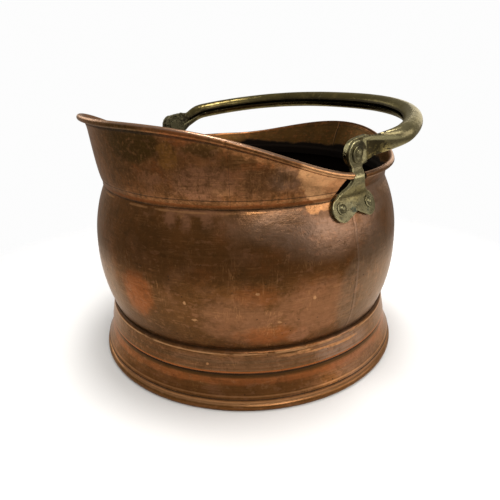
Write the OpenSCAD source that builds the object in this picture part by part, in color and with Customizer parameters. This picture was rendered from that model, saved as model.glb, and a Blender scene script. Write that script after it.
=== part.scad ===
// Helmet coal scuttle: a copper barrel on a spun foot, with a spout and a raised back lapped to its
// neck, and a brass swing handle pinned to two riveted brackets.
// The origin is the centre of the foot on the floor, +Z is up and the spout points along -X.
// Left (-Y) and right (+Y) are those of someone who carries the scuttle spout first.

/* [Copper sheet] */
// Thickness of the copper sheet of the barrel, foot, spout and back
sheet_t = 1.2; // [0.8:0.1:1.6]

/* [Barrel] */
// Diameter of the barrel at its widest
belly_d = 292; // [280:1:310]
// Diameter of the neck, outside
neck_d = 266; // [250:1:272]
// Diameter of the waist where the barrel meets the foot
waist_d = 271; // [255:1:275]
// Height of the widest place above the waist
belly_rise = 57; // [45:1:75]
// Height of the neck above the widest place
neck_rise = 60; // [45:1:75]
// Exponent of the bulge: higher is straighter in the middle
bulge_power = 2.2; // [1.8:0.1:2.8]
// Straight band above the neck that the spout and the back lap on
collar_h = 4; // [3:0.5:6]

/* [Foot] */
// Height of the foot, from the floor to the waist
foot_h = 51; // [44:1:62]
// Distance that the upper band's sharp lower edge stands out past the waist
band_out = 6; // [4:0.5:9]
// Distance that the foot's rolled edge stands out past the band's edge
skirt_out = 8.5; // [6:0.5:16]
// Height of the upper band
band_h = 18.5; // [14:0.5:22]
// Depth of the undercut below the band's edge
undercut = 2; // [1:0.5:3]
// Diameter of the wire rolled into the foot's edge
foot_wire_d = 4.8; // [4:0.2:6]
// Thickness of the floor plate in the barrel
floor_t = 1.2; // [0.8:0.1:2]
// Height of the floor plate's turned-down flange
floor_flange_h = 6; // [4:0.5:8]

/* [Spout] */
// Height of the spout's tip above the neck
spout_rise = 60; // [48:1:72]
// Height of the spout's rim above the neck beside the brackets
spout_side_rise = 19; // [15:1:24]
// Distance that the spout's wall leans out at the tip
spout_lean = 8; // [5:0.5:11]
// Extra outward turn of the lip under the rim beside the brackets
lip_out = 3.9; // [2:0.1:5]
// Extra outward turn of the lip under the rim at the tip
tip_lip_out = 2.2; // [1:0.1:5]
// Height of the turned lip
lip_h = 11; // [8:1:14]
// Angle from the spout's middle to the joint with each wing
wing_joint_angle = 47; // [40:1:55]

/* [Back] */
// Height of the back's highest place above the neck
back_rise = 32; // [26:1:40]
// Height of the back's rim above the neck beside the brackets
back_side_rise = 16; // [14:1:20]
// Distance that the back's wall leans out at its highest place
back_lean = 9.6; // [6:0.2:12]
// Angle from the middle of the back over which its rim rises
back_spread = 56; // [45:1:65]

/* [Rims] */
// Diameter of the wire rolled into the rims of the spout and the back
rim_wire_d = 2.5; // [2:0.1:3.5]
// Angle from each bracket at which the wings and the back start, at the neck
gap_angle_low = 10.6; // [9.8:0.2:12]
// Angle from each bracket at which the wings end, at the rim
gap_angle_top = 4.6; // [4:0.2:6]
// Angle from each bracket at which the back ends, at the rim
back_gap_angle_top = 3.6; // [3.4:0.1:6]
// Length of the spout's rim wire that shows past the rolled edge, as an angle
wire_end_angle = 1.2; // [0.4:0.2:1.4]
// Length of the back's rim wire that shows past the rolled edge, as an angle
back_wire_end_angle = 0.5; // [0.3:0.1:0.6]

/* [Brackets] */
// Thickness of the brass brackets
bracket_t = 3.2; // [2.4:0.1:4]
// Height of the rivets below the neck
rivet_drop = 6.8; // [6:0.2:9]
// Angle between the two rivets of a bracket
rivet_angle = 13.1; // [12:0.1:14.5]
// Radius of the two round lobes
lobe_r = 9.2; // [8:0.2:10]
// Height of the notch between the lobes, below the rivets
notch_drop = 3; // [1:0.5:5]
// Hollowness of the shoulders between the lobes and the strap: 1 is straight
shoulder_power = 1.7; // [1:0.1:2.2]
// Width of the narrow strap above the lobes
strap_w = 12.4; // [10:0.2:13]
// Height above the neck where the strap is narrow
strap_rise = 16; // [14:0.5:18]
// Distance that the strap bows out past the neck
strap_bow = 4.6; // [4:0.2:6]
// Radius of the round eye at the top of a bracket
eye_r = 10.4; // [9.5:0.1:11]
// Diameter of the rivets
rivet_d = 5; // [4:0.5:6]
// Diameter of the rivets' flat rim
rivet_rim_d = 10; // [9:0.5:12]
// Diameter of the rivets' domed heads
rivet_head_d = 6.6; // [6:0.2:8]

/* [Pivots] */
// Height of the handle's pivots above the neck
pivot_rise = 33.5; // [31:0.5:37]
// Diameter of the pivot pins
pin_d = 6; // [5:0.5:7]
// Diameter of the pins' outer heads
pin_head_d = 8.6; // [8:0.2:10]
// Diameter of the washers under the outer heads
washer_d = 13; // [12:0.5:17]
// Thickness of the washers
washer_t = 1.1; // [0.8:0.1:1.6]
// Clearance of the pins in the handle, on the radius
pin_clearance = 0.08; // [0.05:0.01:0.1]
// Gap between the handle's ends and the brackets
side_gap = 0.4; // [0.3:0.05:0.6]

/* [Handle] */
// Width of the handle between the centre lines of its arms
handle_w = 299; // [294:1:310]
// Reach of the handle's crown from its pivots
handle_reach = 142.5; // [136:0.5:150]
// Squareness of the handle's arch: 2 is an ellipse
handle_power = 2.3; // [2:0.05:2.6]
// Diameter of the rolled brass tube
tube_d = 16; // [14:0.5:19]
// Wall of the rolled brass tube
tube_wall = 1.4; // [1:0.1:2]
// Width of the open seam along the inside of the tube
seam_w = 3.4; // [2:0.2:5]
// Height of the tube's centre line above the line through the pivots
tube_rise = 4.2; // [3:0.2:5]
// Height of the flattened ends
tongue_h = 22; // [20:0.5:24]
// Thickness of the flattened ends
tongue_t = 3.8; // [3.4:0.1:5]
// Distance of the middle of the ends' round from the pivots
tongue_shift = 2; // [0:0.5:3]
// Length of the flattened ends past the pivots
tongue_len = 15; // [13:0.5:17]
// Length from the pivots at which the handle has narrowed to the tube's height
narrow_len = 27; // [23:1:36]
// Length from the pivots over which the ends swell out sideways into the tube
swell_len = 56; // [46:1:66]
// Angle of the folded handle above level
fold_angle = 8.2; // [8:0.1:12]

/* [Hidden] */

copper = [0.50, 0.29, 0.20];
dark_copper = [0.42, 0.26, 0.18];
steel = [0.35, 0.33, 0.30];
brass = [0.55, 0.50, 0.32];

fit = 0.05;            // clearance of soldered and rolled laps
LEFT = -90;            // direction of the left bracket about Z
RIGHT = 90;            // direction of the right bracket about Z

belly_r = belly_d / 2;
neck_r = neck_d / 2;
waist_r = waist_d / 2;
waist_z = foot_h;
belly_z = waist_z + belly_rise;
neck_z = belly_z + neck_rise;
collar_z = neck_z + collar_h;

function smooth(t) = let (u = min(1, max(0, t))) u * u * (3 - 2 * u);
function mix(a, b, t) = a + (b - a) * t;
function polar(r, angle, z) = [r * cos(angle), r * sin(angle), z];

// ---------------------------------------------------------------- barrel, floor and foot

// Outer radius of the barrel at a height
function barrel_r(z) =
    z <= belly_z
    ? belly_r - (belly_r - waist_r) * pow(min(1, (belly_z - z) / belly_rise), bulge_power)
    : belly_r - (belly_r - neck_r) * pow(min(1, (z - belly_z) / neck_rise), bulge_power);

slope_step = 0.5;      // height over which slopes are measured
function barrel_slope(z) = (barrel_r(z + slope_step) - barrel_r(z - slope_step)) / (2 * slope_step);
function along_normal(thickness, slope) = thickness * sqrt(1 + slope * slope);

barrel_rings = 24;
barrel_zs = [for (i = [0 : barrel_rings]) mix(waist_z, neck_z, i / barrel_rings)];
barrel_bottom_z = waist_z - floor_flange_h + fit;

module body() {
    outside = [for (z = barrel_zs) [barrel_r(z), z]];
    inside = [for (i = [barrel_rings : -1 : 0])
        let (z = barrel_zs[i]) [barrel_r(z) - along_normal(sheet_t, barrel_slope(z)), z]];
    color(copper)
    difference() {
        rotate_extrude($fn = 180)
            polygon(concat(
                [[waist_r, barrel_bottom_z]], outside, [[neck_r, collar_z]],
                [[neck_r - sheet_t, collar_z], [neck_r - sheet_t, neck_z]],
                inside, [[waist_r - sheet_t, barrel_bottom_z]]));
        for (side = [LEFT, RIGHT]) rivet_bores(side);
    }
}

floor_r = waist_r - sheet_t - fit;

module body_floor() {
    color(dark_copper)
    rotate_extrude($fn = 180)
        polygon([[0, waist_z], [floor_r, waist_z], [floor_r, barrel_bottom_z],
            [floor_r - floor_t, barrel_bottom_z], [floor_r - floor_t, waist_z - floor_t],
            [0, waist_z - floor_t]]);
}

band_r = waist_r + band_out;
foot_r = band_r + skirt_out;
band_z = waist_z - band_h;                       // sharp lower edge of the band
bead_r = foot_wire_d / 2 + sheet_t + 2 * fit;    // rolled edge, outside
bead_mid_r = foot_r - bead_r;
bead_flat = 0.3;                                 // the rolled edge is worn flat on the floor
bead_z = bead_r - bead_flat;
shoulder_r = 3;                                  // round top edge of the band
shoulder_steps = 5;
band_top_r = waist_r + shoulder_r;
skirt_top = [band_r - undercut + 0.9, band_z - undercut - 1];
skirt_foot = [bead_mid_r + 1.8, bead_z + bead_r + 3.6];
skirt_hollow = 0.7;                              // depth of the skirt's hollow curve
skirt_steps = 8;

// Outline of the rolled edge, from the skirt's outside round to its inside
bead_steps = 32;
bead_start = 70;
bead_outline = [for (i = [0 : bead_steps]) let (a = mix(bead_start, -180 - bead_start, i / bead_steps))
    [bead_mid_r + bead_r * cos(a), max(0, bead_z + bead_r * sin(a))]];

// Outside of the foot from the waist down to its rolled edge
foot_outline = concat(
    [for (i = [0 : shoulder_steps]) let (a = 90 - 90 * i / shoulder_steps)
        [waist_r + fit + shoulder_r * cos(a), waist_z - shoulder_r + shoulder_r * sin(a)]],
    [[band_r, band_z], [band_r - undercut, band_z - 0.55 * undercut]],
    [for (i = [0 : skirt_steps]) let (t = i / skirt_steps)
        [mix(skirt_top.x, skirt_foot.x, t) - skirt_hollow * sin(180 * t),
            mix(skirt_top.y, skirt_foot.y, t)]],
    [[skirt_foot.x - 0.8, skirt_foot.y - 1.2]]);

module foot_ring() {
    inside = [for (i = [len(foot_outline) - 1 : -1 : 0]) let (p = foot_outline[i])
        [max(p.x - sheet_t, waist_r + fit), min(p.y, waist_z - sheet_t)]];
    color(copper)
    rotate_extrude($fn = 180)
        difference() {
            polygon(concat(foot_outline, bead_outline, inside));
            translate([bead_mid_r, bead_z]) circle(r = foot_wire_d / 2 + fit, $fn = 48);
        }
}

module foot_rim_wire() {
    color(steel)
    rotate_extrude($fn = 180)
        translate([bead_mid_r, bead_z]) circle(r = foot_wire_d / 2, $fn = 32);
}

// ---------------------------------------------------------------- spout and back

// Solid through a list of rings. Each ring has an even number of points in the same order, and
// its first and last points are a pair across the thickness, as are the next two and so on.
module skin(rings) {
    n = len(rings[0]);
    m = len(rings);
    cap = [for (i = [0 : n / 2 - 2]) [i, i + 1, n - 2 - i, n - 1 - i]];
    polyhedron(
        points = [for (ring = rings) each ring],
        faces = concat(
            [for (q = cap) each [[q[0], q[1], q[2]], [q[0], q[2], q[3]]]],
            [for (j = [0 : m - 2]) for (i = [0 : n - 1]) let (k = (i + 1) % n) each [
                [j * n + i, (j + 1) * n + k, j * n + k],
                [j * n + i, (j + 1) * n + i, (j + 1) * n + k]]],
            [for (q = cap) let (e = (m - 1) * n) each
                [[e + q[0], e + q[2], e + q[1]], [e + q[0], e + q[3], e + q[2]]]]));
}

wire_r = rim_wire_d / 2;
curl_in_r = wire_r + 3 * fit;          // inside of the rolled edge
curl_r = curl_in_r + sheet_t;          // outside of the rolled edge
curl_end = -80;                        // where the rolled edge ends under the wire, in degrees
curl_steps = 8;
wall_steps = 8;

// Height of the spout's rim at an angle from the spout's middle
spout_curve = 1.7;
function spout_rim_z(angle) =
    neck_z + mix(spout_side_rise, spout_rise,
        (1 + cos(180 * pow(min(1, abs(angle) / 90), spout_curve))) / 2);

// Height of the back's rim at an angle from the middle of the back
function back_rim_z(angle) =
    neck_z + mix(back_side_rise, back_rise, (1 + cos(180 * min(1, abs(angle) / back_spread))) / 2);

// Outer radius of the spout's wall at a height, under a rim at rim_z
spout_power = 0.65;                    // below 1, the wall is hollow and leans most at the neck
function lip(rim_z) =
    mix(lip_out, tip_lip_out, (rim_z - neck_z - spout_side_rise) / (spout_rise - spout_side_rise));
function spout_r(z, rim_z) =
    neck_r + sheet_t + fit
    + spout_lean * pow(max(0, z - collar_z) / (spout_rise - collar_h), spout_power)
    + lip(rim_z) * pow(max(0, 1 - (rim_z - z) / lip_h), 2);

// Outer radius of the back's wall at a height: it steps in below the collar to lie inside the neck
back_foot_z = neck_z - 4;
back_power = 1.3;                      // above 1, the wall curves outwards as it rises
function back_r(z) =
    z <= collar_z
    ? neck_r - sheet_t - fit
    : neck_r + back_lean * pow((z - collar_z) / (back_rise - collar_h), back_power);

// Outline of a rolled sheet edge about the wire's centre, in radius and height
function curl_outline(mid_r, mid_z) = concat(
    [for (i = [0 : curl_steps]) let (a = mix(180, curl_end, i / curl_steps))
        [mid_r + curl_in_r * cos(a), mid_z + curl_in_r * sin(a)]],
    [for (i = [curl_steps : -1 : 0]) let (a = mix(180, curl_end, i / curl_steps))
        [mid_r + curl_r * cos(a), mid_z + curl_r * sin(a)]]);

function spout_rim_r(rim_z) = spout_r(rim_z, rim_z) + curl_in_r;
function back_rim_r(rim_z) = back_r(rim_z) + curl_in_r;

function spout_section(rim_z) = concat(
    [for (i = [0 : wall_steps]) let (z = mix(neck_z, rim_z - wall_gap, pow(i / wall_steps, 0.8)))
        [spout_r(z, rim_z), z]],
    curl_outline(spout_rim_r(rim_z), rim_z),
    [for (i = [wall_steps : -1 : 0]) let (z = mix(neck_z, rim_z - wall_gap, pow(i / wall_steps, 0.8)))
        [spout_r(z, rim_z) - sheet_t, z]]);

wall_gap = 0.6;                        // the wall's last ring lies this far under the wire's centre
joggle_h = 1.2;                        // height over which the back steps out over the neck
function back_section(rim_z) = concat(
    [[back_r(collar_z), back_foot_z], [back_r(collar_z), collar_z + fit],
        [neck_r, collar_z + fit]],
    [for (i = [1 : wall_steps]) let (z = mix(collar_z + fit, rim_z - wall_gap, i / wall_steps))
        [back_r(z), z]],
    curl_outline(back_rim_r(rim_z), rim_z),
    [for (i = [wall_steps : -1 : 1]) let (z = mix(collar_z + fit, rim_z - wall_gap, i / wall_steps))
        [back_r(z) - sheet_t, z]],
    [[back_r(collar_z + joggle_h) - sheet_t, collar_z + joggle_h],
        [back_r(collar_z) - sheet_t, collar_z + joggle_h / 2],
        [back_r(collar_z) - sheet_t, back_foot_z]]);

// Angle from a bracket at which the sheets end, which narrows from the neck to the rim
function gap_angle(z, rim_z, top) =
    mix(gap_angle_low, top, min(1, max(0, (z - neck_z) / (rim_z - neck_z))));

// Ring of section points. The last angle is measured at each point's own height, so that the end
// of the sheet leans back from the bracket. turn is the direction of angle 0 about Z, and top is
// the sheet's gap at the rim, or 0 for a sheet that runs across to the other side.
function sheet_ring(section, rim_z, from, t, turn, sense, top) = [for (p = section)
    let (to = top > 0 ? 90 - gap_angle(p.y, rim_z, top) : -from)
    polar(p.x, turn + sense * mix(from, to, t), p.y)];

spout_turn = 180;
panel_steps = 32;
wing_steps = 13;
back_steps = 26;

module spout_panel() {
    a = wing_joint_angle;
    color(copper)
    skin([for (i = [0 : panel_steps]) let (t = i / panel_steps, rim_z = spout_rim_z(mix(a, -a, t)))
        sheet_ring(spout_section(rim_z), rim_z, a, t, spout_turn, 1, 0)]);
}

module spout_wing(sense) {
    a = wing_joint_angle;
    end = 90 - gap_angle_top;
    rings = [for (i = [0 : wing_steps]) let (t = i / wing_steps, rim_z = spout_rim_z(mix(a, end, t)))
        sheet_ring(spout_section(rim_z), rim_z, a, t, spout_turn, sense, gap_angle_top)];
    color(dark_copper)
    skin(sense < 0 ? rings : [for (i = [wing_steps : -1 : 0]) rings[i]]);
}

module back_panel(sense) {
    end = 90 - back_gap_angle_top;
    rings = [for (i = [0 : back_steps]) let (t = i / back_steps, rim_z = back_rim_z(mix(0, end, t)))
        sheet_ring(back_section(rim_z), rim_z, 0, t, 0, sense, back_gap_angle_top)];
    color(dark_copper)
    skin(sense < 0 ? rings : [for (i = [back_steps : -1 : 0]) rings[i]]);
}

wire_sides = 8;
wire_steps = 58;
function wire_ring(mid_r, mid_z, angle) = [for (k = [0 : wire_sides - 1])
    let (a = 360 * (k + 0.5) / wire_sides) polar(mid_r + wire_r * cos(a), angle, mid_z + wire_r * sin(a))];

module spout_rim_wire() {
    end = 90 - gap_angle_top + wire_end_angle;
    color(copper)
    skin([for (i = [0 : wire_steps]) let (a = mix(end, -end, i / wire_steps), z = spout_rim_z(a))
        wire_ring(spout_rim_r(z), z, spout_turn + a)]);
}

module back_rim_wire() {
    end = 90 - back_gap_angle_top + back_wire_end_angle;
    color(copper)
    skin([for (i = [0 : wire_steps]) let (a = mix(end, -end, i / wire_steps), z = back_rim_z(a))
        wire_ring(back_rim_r(z), z, a)]);
}

// ---------------------------------------------------------------- brackets, rivets and pins

rivet_z = neck_z - rivet_drop;
rivet_tilt = atan(barrel_slope(rivet_z));        // the barrel leans inwards here
pivot_z = neck_z + pivot_rise;
eye_in = neck_r + 1.2;                           // inner face of the eye
eye_out = eye_in + bracket_t;
tongue_out = eye_in - side_gap;                  // outer face of the handle's flattened ends
tongue_in = tongue_out - tongue_t;

// Place things on a rivet's axis, with +Z pointing out of the barrel's skin
module at_rivets(side) {
    for (a = [-rivet_angle / 2, rivet_angle / 2])
        rotate([0, 0, side + a])
            translate([barrel_r(rivet_z), 0, rivet_z])
                rotate([0, 90 + rivet_tilt, 0]) children();
}

module rivet_bores(side) {
    at_rivets(side)
        cylinder(d = rivet_d + 2 * fit, h = 6 * bracket_t, center = true, $fn = 32);
}

// Greater of two radii, with the corner between them rounded
bend_soft = 1;
function soft_max(a, b) = max(a, b) + pow(max(0, bend_soft - abs(a - b)), 2) / (4 * bend_soft);

// Middle of the bracket's thickness, as a radius: on the barrel, bowed past the rims, then upright
foot_slope_z = neck_z + 2;
bow_z = neck_z + strap_rise;
eye_start_z = pivot_z - eye_r + 1;
function bracket_on_barrel(z) =
    let (zs = min(z, neck_z - slope_step))
    barrel_r(zs) + barrel_slope(zs) * (z - zs) + fit + along_normal(bracket_t, barrel_slope(zs)) / 2;
function bracket_mid(z) =
    z <= bow_z
    ? soft_max(bracket_on_barrel(z),
        mix(neck_r + fit + bracket_t / 2, neck_r + strap_bow + bracket_t / 2,
            smooth((z - foot_slope_z) / (bow_z - foot_slope_z))))
    : mix(neck_r + strap_bow + bracket_t / 2, eye_in + bracket_t / 2,
        smooth((z - bow_z) / (eye_start_z - bow_z)));
function bracket_half(z) =
    along_normal(bracket_t, (bracket_mid(z + slope_step) - bracket_mid(z - slope_step)) / (2 * slope_step)) / 2;

bracket_low_z = rivet_z - lobe_r - 1;
bracket_rings = 26;
bracket_zs = [for (i = [0 : bracket_rings]) mix(bracket_low_z, eye_start_z, i / bracket_rings)];
lobe_y = barrel_r(rivet_z) * sin(rivet_angle / 2);
bracket_arc = 30;                                // width of the turned blank, in degrees
outline_steps = 8;

// Front view of the lobes and the strap, across the bracket and up
module bracket_outline() {
    lean = lobe_r * sqrt(1 / 2);
    for (s = [-1, 1]) translate([s * lobe_y, rivet_z]) circle(r = lobe_r, $fn = 64);
    shoulder = [for (i = [0 : outline_steps]) let (t = i / outline_steps)
        [mix(strap_w / 2, lobe_y + lean, pow(1 - t, shoulder_power)), mix(rivet_z + lean, bow_z, t)]];
    half = concat([[lobe_y - 0.34 * lobe_r, rivet_z - 0.94 * lobe_r]], shoulder,
        [[strap_w / 2, eye_start_z + 1]]);
    polygon(concat([[0, rivet_z - notch_drop]], half,
        [for (i = [len(half) - 1 : -1 : 0]) [-half[i].x, half[i].y]]));
}

module bracket(side) {
    color(brass)
    difference() {
        rotate([0, 0, side]) union() {
            intersection() {
                rotate([0, 0, -bracket_arc / 2])
                    rotate_extrude(angle = bracket_arc, $fn = 180)
                        polygon(concat(
                            [for (z = bracket_zs) [bracket_mid(z) + bracket_half(z), z]],
                            [for (i = [bracket_rings : -1 : 0]) let (z = bracket_zs[i])
                                [bracket_mid(z) - bracket_half(z), z]]));
                rotate([90, 0, 90]) linear_extrude(height = 2 * neck_r) bracket_outline();
            }
            translate([eye_in, 0, 0]) rotate([90, 0, 90]) linear_extrude(height = bracket_t) {
                translate([0, pivot_z]) circle(r = eye_r, $fn = 64);
                translate([-strap_w / 2, eye_start_z - 1.5]) square([strap_w, eye_r]);
            }
        }
        rivet_bores(side);
        rotate([0, 0, side]) translate([eye_in - bracket_t, 0, pivot_z]) rotate([0, 90, 0])
            cylinder(d = pin_d + 2 * fit, h = 3 * bracket_t, $fn = 48);
    }
}

rivet_rim_t = 0.7;                               // thickness of the rivet head's flat rim
rivet_dome = 1.5;                                // height of the dome above the rim
rivet_tail_d = 8;                                // hammered tail inside the barrel
rivet_tail_t = 1.3;
plate_out = bracket_t + 2 * fit;                 // outer face of the bracket above the barrel's skin

module bracket_rivets(side) {
    dome_r = (pow(rivet_head_d / 2, 2) + pow(rivet_dome, 2)) / (2 * rivet_dome);
    color(brass)
    at_rivets(side) {
        translate([0, 0, -sheet_t - rivet_tail_t - fit]) cylinder(d = rivet_tail_d, h = rivet_tail_t, $fn = 40);
        translate([0, 0, -sheet_t - rivet_tail_t]) cylinder(d = rivet_d, h = sheet_t + rivet_tail_t + plate_out, $fn = 32);
        translate([0, 0, plate_out]) cylinder(d = rivet_rim_d, h = rivet_rim_t, $fn = 40);
        intersection() {
            translate([0, 0, plate_out + rivet_rim_t + rivet_dome - dome_r]) sphere(r = dome_r, $fn = 48);
            translate([0, 0, plate_out]) cylinder(d = rivet_head_d, h = 2 * dome_r, $fn = 40);
        }
    }
}

// Place things on a pivot, with +Z pointing away from the scuttle and 0 on the eye's outer face
module at_pivot(side) {
    rotate([0, 0, side]) translate([eye_out, 0, pivot_z]) rotate([0, 90, 0]) children();
}

pin_dome = 1.7;                                  // height of the pin's outer head
pin_tail_d = 10;                                 // hammered tail of the pin inside the handle
pin_tail_t = 1.5;

module pivot_pin(side) {
    dome_r = (pow(pin_head_d / 2, 2) + pow(pin_dome, 2)) / (2 * pin_dome);
    tail_z = tongue_in - side_gap - eye_out;
    color(brass)
    at_pivot(side) {
        translate([0, 0, tail_z - pin_tail_t]) cylinder(d = pin_tail_d, h = pin_tail_t, $fn = 40);
        translate([0, 0, tail_z - pin_tail_t / 2])
            cylinder(d = pin_d, h = washer_t + fit - tail_z + pin_tail_t / 2, $fn = 48);
        intersection() {
            translate([0, 0, washer_t + fit + pin_dome - dome_r]) sphere(r = dome_r, $fn = 48);
            translate([0, 0, washer_t + fit]) cylinder(d = pin_head_d + 1, h = 2 * dome_r, $fn = 40);
        }
    }
}

module pin_washer(side) {
    color(brass)
    at_pivot(side)
        difference() {
            cylinder(d = washer_d, h = washer_t, $fn = 48);
            translate([0, 0, -washer_t]) cylinder(d = pin_d + 2 * fit, h = 3 * washer_t, $fn = 48);
        }
}

// ---------------------------------------------------------------- handle

// The handle is drawn level, pivoted at the origin and reaching along +X, and then folded
tube_r = tube_d / 2;
tongue_mid = (tongue_in + tongue_out) / 2;
arch_start = 3.2;                      // first and last angle of the arch, where the tongues take over
arch_steps = 66;
seam_half = asin(seam_w / tube_d);
arc_points = 14;

function arch_x(t) = handle_reach * pow(max(0, sin(t)), 2 / handle_power);
function arch_y(t) = -sign(cos(t)) * handle_w / 2 * pow(abs(cos(t)), 2 / handle_power);
tongue_lap = 3;                        // the tube starts this far inside the flattened ends
function swell(x) = smooth((x - tongue_len + tongue_lap) / (swell_len - tongue_len));
function narrow(x) = smooth((x - tongue_len + tongue_lap) / (narrow_len - tongue_len));
function arm_y(t) = let (x = arch_x(t), y = arch_y(t)) mix(sign(y) * tongue_mid, y, swell(x));
function arch_point(t) = [arch_x(t), arm_y(t), tube_rise * swell(arch_x(t))];

arch_nudge = 0.4;                      // angle over which the arch's direction is measured
function arch_normal(t) =
    let (d = arch_point(t + arch_nudge) - arch_point(t - arch_nudge)) [-d.y, d.x, 0] / norm([d.x, d.y]);

// Ring of the open tube: the seam faces the inside of the arch, and the ring flattens to the ends
function tube_ring(t) =
    let (p = arch_point(t), out = -arch_normal(t), s = swell(p.x),
        half_w = mix(tongue_t / 2, tube_r, s), half_h = mix(tongue_h / 2, tube_r, narrow(p.x)))
    concat(
        [for (i = [0 : arc_points - 1]) let (a = mix(180 - seam_half, seam_half - 180, i / (arc_points - 1)))
            p + out * (half_w * cos(a)) + [0, 0, half_h * sin(a)]],
        [for (i = [arc_points - 1 : -1 : 0]) let (a = mix(180 - seam_half, seam_half - 180, i / (arc_points - 1)))
            p + out * ((half_w - tube_wall) * cos(a)) + [0, 0, (half_h - tube_wall) * sin(a)]]);

module tongue(sense) {
    translate([0, sense * tongue_mid, 0]) rotate([90, 0, 0])
        linear_extrude(height = tongue_t, center = true) {
            translate([tongue_shift, 0]) circle(r = tongue_h / 2, $fn = 72);
            translate([tongue_shift, -tongue_h / 2]) square([tongue_len - tongue_shift, tongue_h]);
        }
}

module handle() {
    color(brass)
    translate([0, 0, pivot_z]) rotate([0, -fold_angle, 0])
        difference() {
            union() {
                skin([for (i = [0 : arch_steps])
                    tube_ring(mix(arch_start, 180 - arch_start, i / arch_steps))]);
                for (sense = [-1, 1]) tongue(sense);
            }
            for (sense = [-1, 1])
                translate([0, sense * tongue_mid, 0]) rotate([90, 0, 0])
                    cylinder(d = pin_d + 2 * pin_clearance, h = 3 * tongue_t, center = true, $fn = 48);
        }
}

body();
body_floor();
foot_ring();
foot_rim_wire();
spout_panel();
spout_wing(1);  // left_spout_wing
spout_wing(-1);  // right_spout_wing
spout_rim_wire();
back_panel(-1);  // left_back_panel
back_panel(1);  // right_back_panel
back_rim_wire();
bracket(LEFT);  // left_bracket
bracket(RIGHT);  // right_bracket
bracket_rivets(LEFT);  // left_bracket_rivets
bracket_rivets(RIGHT);  // right_bracket_rivets
pivot_pin(LEFT);  // left_pivot_pin
pivot_pin(RIGHT);  // right_pivot_pin
pin_washer(LEFT);  // left_pin_washer
pin_washer(RIGHT);  // right_pin_washer
handle();
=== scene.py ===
from math import asin, atan2, copysign, cos, exp, hypot, pi, radians, sin, sqrt

import bmesh
import bpy
import numpy as np
from mathutils import Matrix, Vector, noise


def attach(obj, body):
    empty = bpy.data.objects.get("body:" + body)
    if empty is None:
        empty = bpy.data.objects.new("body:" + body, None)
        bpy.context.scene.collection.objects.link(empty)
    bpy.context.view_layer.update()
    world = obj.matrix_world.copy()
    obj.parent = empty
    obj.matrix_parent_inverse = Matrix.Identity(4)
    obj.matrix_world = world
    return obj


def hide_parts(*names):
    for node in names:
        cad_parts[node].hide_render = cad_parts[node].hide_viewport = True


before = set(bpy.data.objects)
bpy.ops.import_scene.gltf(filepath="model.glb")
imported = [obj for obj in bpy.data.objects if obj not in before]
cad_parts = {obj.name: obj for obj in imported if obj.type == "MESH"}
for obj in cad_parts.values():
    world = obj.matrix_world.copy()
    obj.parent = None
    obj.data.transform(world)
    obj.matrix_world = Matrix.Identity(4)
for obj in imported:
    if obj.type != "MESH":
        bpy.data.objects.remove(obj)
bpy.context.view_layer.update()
scene = bpy.context.scene
millimetre = 0.001
print("frame loaded:", len(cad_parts), "nodes")


def smooth(t):
    t = min(1, max(0, t))
    return t * t * (3 - 2 * t)


def mix(a, b, t):
    return a + (b - a) * t


def wander(place, size, seed):
    return noise.noise(Vector(place) / size + Vector((7.3 * seed, -3.1 * seed, 1.7 * seed)))


def polar(radius, angle, height):
    turn = radians(angle)
    return Vector((radius * cos(turn), radius * sin(turn), height))


def newObject(name, data):
    made = bpy.data.objects.new(name, data)
    scene.collection.objects.link(made)
    return made


def add(tree, kind, sockets=None, **settings):  # one node with its settings and inputs
    node = tree.nodes.new("ShaderNode" + kind)
    for label, value in settings.items():
        setattr(node, label, value)
    for label, value in (sockets or {}).items():
        socket = node.inputs[label]
        if isinstance(value, bpy.types.NodeSocket):
            tree.links.new(value, socket)
        else:
            socket.default_value = (*value, 1) if socket.type == "RGBA" else value
    return node


def calc(tree, operation, *values):
    return add(tree, "Math", dict(enumerate(values)), operation=operation).outputs[0]


def vector(tree, operation, *values):
    outputs = add(tree, "VectorMath", dict(enumerate(values)), operation=operation).outputs
    return outputs["Value" if operation in ("LENGTH", "DOT_PRODUCT") else "Vector"]


def product(tree, first, *others):
    for other in others:
        first = calc(tree, "MULTIPLY", first, other)
    return first


def apart(tree, first, second):
    return calc(tree, "ABSOLUTE", calc(tree, "SUBTRACT", first, second))


def band(tree, value, low, high):  # rises smoothly from 0 at low to 1 at high
    sockets = {"Value": value, "From Min": low, "From Max": high}
    return add(tree, "MapRange", sockets, interpolation_type="SMOOTHSTEP").outputs[0]


def cloud(tree, place, scale, detail=4, roughness=0.6):
    sockets = {"Vector": place, "Scale": scale, "Detail": detail, "Roughness": roughness}
    return add(tree, "TexNoise", sockets).outputs[0]


def frayed(tree, value, place, scale, amount, detail=4):  # a value moved up and down by a cloud
    lift = calc(tree, "SUBTRACT", cloud(tree, place, scale, detail), 0.5)
    return calc(tree, "MULTIPLY_ADD", lift, amount, value)


def axes(tree, place):
    return add(tree, "SeparateXYZ", {0: place}).outputs


def marked(tree, name):  # a number kept on the mesh
    return add(tree, "Attribute", attribute_name=name).outputs["Fac"]


def objectPlace(tree):
    return add(tree, "TexCoord").outputs["Object"]


photoCamera = {
    "place": (-288.7, -364.5, 268), "roll": -1.39, "lens": 34.36, "sensor": 36, "clip": (0.01, 50),
    "turn": -38.8,  # degrees about Z from looking along +Y
    "pitch": 21.57,  # degrees below level
}


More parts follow.
